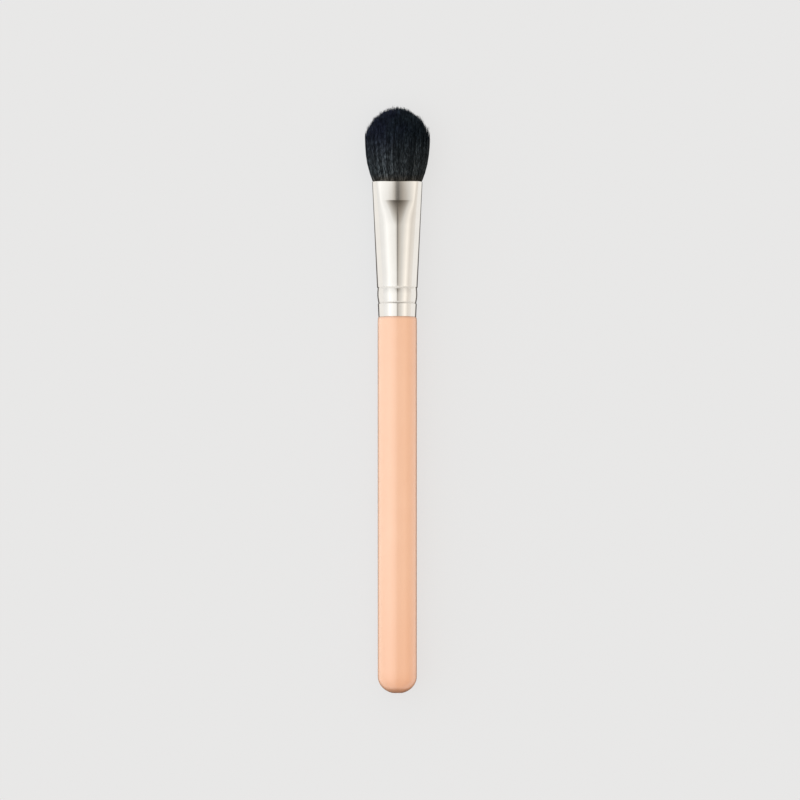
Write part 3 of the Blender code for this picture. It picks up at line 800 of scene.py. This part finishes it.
def map_strands(piece, count, rings):
    """A map with a cell of its own for each strand, so that a bake keeps each strand's tone."""
    columns = math.ceil(math.sqrt(count))
    cells = np.stack([np.arange(count) % columns, np.arange(count) // columns], axis=-1)
    quad = np.arange((rings - 1) * STRAND_SIDES)
    across = (quad % STRAND_SIDES)[:, None] + np.array([0, 0, 1, 1])[None, :]
    up = (quad // STRAND_SIDES)[:, None] + np.array([0, 1, 1, 0])[None, :]
    low, high = CELL_MARGIN, 1.0 - CELL_MARGIN
    sides = np.stack([blend(low, high, across / STRAND_SIDES), blend(low, high, up / (rings - 1))], axis=-1)
    end = np.array([[low, 0.0], [0.5, 0.0], [0.5, CELL_END]])
    ends = np.stack([end, end + [0.0, 1.0 - CELL_END]])
    corners = [(part[None] + cells[:, None, None, :]).reshape(-1, 2) for part in (sides, ends)]
    layer = piece.data.uv_layers.new(name="OFBake")
    layer.data.foreach_set("uv", (np.concatenate(corners) / columns).astype(np.float32).ravel())


def make_hair():
    lines, thick, tone, turn, radius = make_strands()
    material = hair_material()
    start = 0.0
    for name, end in HAIR_PIECES:
        own = (radius >= start) & (radius < end)
        piece = add_strands(name, lines[own], thick[own], tone[own], turn[own])
        belongs(piece, "black_hair", material, "hair_tuft")
        start = end


def make_hair_root(resin):
    """The slice of set resin that the strands stand in."""
    across, through = tuft_section(around(ROOT_STEPS), ROOT_LEVEL)
    levels = [ROOT_LEVEL - ROOT_SLICE_THICKNESS, ROOT_LEVEL + HAIR_SET_DEPTH]
    rings = [in_frame(across, through, level) for level in levels]
    belongs(add_solid("hair_root", rings), "amber_resin", resin, "hair_tuft")


# Stage


def make_floor():
    """A pale table with a faint shadow. Gloss sees it plain, but for the dark contact shadow."""
    corners = [(-1, -1), (1, -1), (1, 1), (-1, 1)]
    mesh = bpy.data.meshes.new("floor")
    mesh.from_pydata([(x * FLOOR_REACH, y * FLOOR_REACH, 0.0) for x, y in corners], [], [(0, 1, 2, 3)])
    floor = bpy.data.objects.new("floor", mesh)
    bpy.context.scene.collection.objects.link(floor)

    material = bpy.data.materials.new("pale_floor")
    material.use_nodes = True
    mesh.materials.append(material)
    tree = material.node_tree
    tree.nodes.clear()
    rays = add_node(tree, "ShaderNodeLightPath").outputs
    place = add_node(tree, "ShaderNodeNewGeometry").outputs["Position"]
    aside = calculated(tree, "ABSOLUTE", axes_of(tree, place)["X"])
    shadow = mixed(tree, stepped(tree, aside, DEEP_SHADOW), DEEP_TONE, CONTACT_TONE)
    mirrored = mixed(tree, stepped(tree, aside, CONTACT_SHADOW), shadow, MIRRORED_TONE)
    shown = mixed(tree, rays["Is Glossy Ray"], PALE, mirrored)
    looked_at = calculated(tree, "MULTIPLY", rays["Is Camera Ray"], FLOOR_PLAINNESS)
    share = calculated(tree, "ADD", rays["Is Glossy Ray"], looked_at)
    paper = add_node(tree, "ShaderNodeBsdfDiffuse", {"Color": (*PALE, 1.0)}).outputs[0]
    surface = either(tree, share, paper, glow(tree, "ShaderNodeEmission", shown))
    add_node(tree, "ShaderNodeOutputMaterial", {"Surface": surface})


def dark_head(tree, place):
    """What the dark patch beyond the hair leaves of the tent's light: least in its middle, all outside it."""
    ahead = math.cos(DARK_HEAD_ASIDE)
    middle = (math.sin(DARK_HEAD_ASIDE), ahead * math.sin(DARK_HEAD_LEAN), ahead * math.cos(DARK_HEAD_LEAN))
    squeezed = vector_math(tree, "MULTIPLY", place, (DARK_HEAD_SQUEEZE, 1.0, 1.0))["Vector"]
    squeezed = vector_math(tree, "NORMALIZE", squeezed)["Vector"]
    angle = calculated(tree, "ARCCOSINE", vector_math(tree, "DOT_PRODUCT", squeezed, middle)["Value"])
    return stepped(tree, angle, DARK_HEAD_EDGES, (DARK_HEAD_LIGHT, 1.0), "LINEAR")


def make_tent(tree, place, axes):
    """What gloss sees of the sky: a tent, its dark slit over the camera, and its dark patch."""
    lean = calculated(tree, "ARCTAN2", axes["X"], axes["Z"])
    share = stepped(tree, lean, (-math.pi / 2.0, math.pi / 2.0), kind="LINEAR")
    fade = stepped(tree, axes["Y"], SLIT_FADE_EDGES, (SLIT_FADE, 1.0))
    slit = between(tree, fade, 1.0, by_angle(tree, share, SLIT))
    head = dark_head(tree, place)
    least = calculated(tree, "MINIMUM", head, slit)
    strength = between(tree, head, least, calculated(tree, "MULTIPLY", head, slit))
    hair_end = stepped(tree, axes["Y"], HEAD_END_EDGES, (1.0, HEAD_END_LIGHT))
    strength = calculated(tree, "MULTIPLY", strength, hair_end)
    warmth = mixed(tree, head, DARK_HEAD_TINT, (1.0, 1.0, 1.0))
    color = vector_math(tree, "MULTIPLY", by_angle(tree, share, TENT), warmth)["Vector"]
    return glow(tree, "ShaderNodeBackground", color, strength)


def make_sky():
    """Soft light from the left, warmer from the right. Gloss sees the tent, and the camera a plain wall."""
    world = bpy.data.worlds.new("light_tent")
    world.use_nodes = True
    tree = world.node_tree
    tree.nodes.clear()
    place = add_node(tree, "ShaderNodeTexCoord").outputs["Generated"]
    axes = axes_of(tree, place)
    rays = add_node(tree, "ShaderNodeLightPath").outputs

    side = stepped(tree, axes["X"], (-1.0, 1.0))
    full = stepped(tree, axes["Y"], BUTT_END_EDGES)
    soft_color = mixed(tree, full, BUTT_END_LIGHT, mixed(tree, side, LEFT_LIGHT, RIGHT_LIGHT))
    soft = glow(tree, "ShaderNodeBackground", soft_color)
    plain = glow(tree, "ShaderNodeBackground", (*PALE, 1.0))
    lit = either(tree, rays["Is Glossy Ray"], soft, make_tent(tree, place, axes))
    surface = either(tree, rays["Is Camera Ray"], lit, plain)
    add_node(tree, "ShaderNodeOutputWorld", {"Surface": surface})
    bpy.context.scene.world = world


def make_camera():
    """Almost straight down on the brush, as far off as the photograph's perspective says."""
    camera = bpy.data.objects.new("camera", bpy.data.cameras.new("camera"))
    camera.data.lens = LENS_MM
    camera.data.sensor_width = SENSOR_MM
    distance = PHOTO_SIDE * METRES_PER_PIXEL * LENS_MM / SENSOR_MM
    aside = (PHOTO_SIDE / 2.0 - BRUSH_AXIS_PIXEL) * METRES_PER_PIXEL
    back, up = math.sin(CAMERA_TILT), math.cos(CAMERA_TILT)
    camera.location = (aside, FRAME_MIDDLE - distance * back, AXIS_HEIGHT + distance * up)
    camera.rotation_euler = (CAMERA_TILT, 0.0, 0.0)
    bpy.context.scene.collection.objects.link(camera)
    bpy.context.scene.camera = camera


def finish_inner_nodes(resin):
    """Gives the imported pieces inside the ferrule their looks. Their shapes are right as they are."""
    for node, material in (
        ("root_plug", resin),
        ("root_binding", cotton_material()),
        ("tenon_glue", glue_material()),
    ):
        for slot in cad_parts[node].material_slots:
            slot.material = material


bpy.context.scene.view_settings.view_transform = "Standard"
make_camera()
make_floor()
make_sky()
make_handle()
make_ferrule()
make_hair()
amber_resin = resin_material()
make_hair_root(amber_resin)
finish_inner_nodes(amber_resin)
